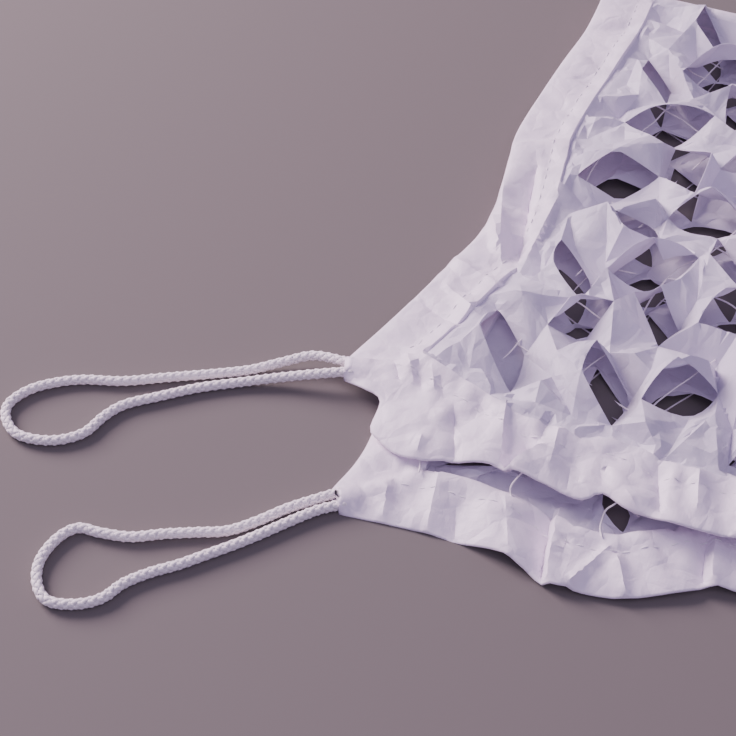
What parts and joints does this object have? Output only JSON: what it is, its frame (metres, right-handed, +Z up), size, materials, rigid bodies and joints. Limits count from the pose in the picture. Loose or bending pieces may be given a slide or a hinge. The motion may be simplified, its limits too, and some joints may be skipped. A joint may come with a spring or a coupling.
{
  "type": "camouflage netting",
  "caption": "White snow camouflage netting of leaf-cut cloth with wide sewn hems, folded in two, with a loop of braided rope at each corner for tying it over a hide.",
  "frame": {"origin": "under the middle of the folded cloth's box, on the surface that it lies on", "axes": "+X along the front hem to the right, +Y from the front hem towards the fold, +Z up"},
  "size_m": [0.999, 0.7083, 0.0364],
  "materials": {
    "coated_cloth": "thin crisp white polyester with a soft coated sheen",
    "braided_rope": "matt white braided polypropylene",
    "net_string": "thin white nylon string",
    "sewing_thread": "matt white polyester thread"
  },
  "bodies": {
    "root": {"netting": "coated_cloth", "rope_loop_upper_left": "braided_rope", "rope_loop_lower_left": "braided_rope", "rope_loop_upper_right": "braided_rope", "rope_loop_lower_right": "braided_rope"}
  },
  "joints": []
}
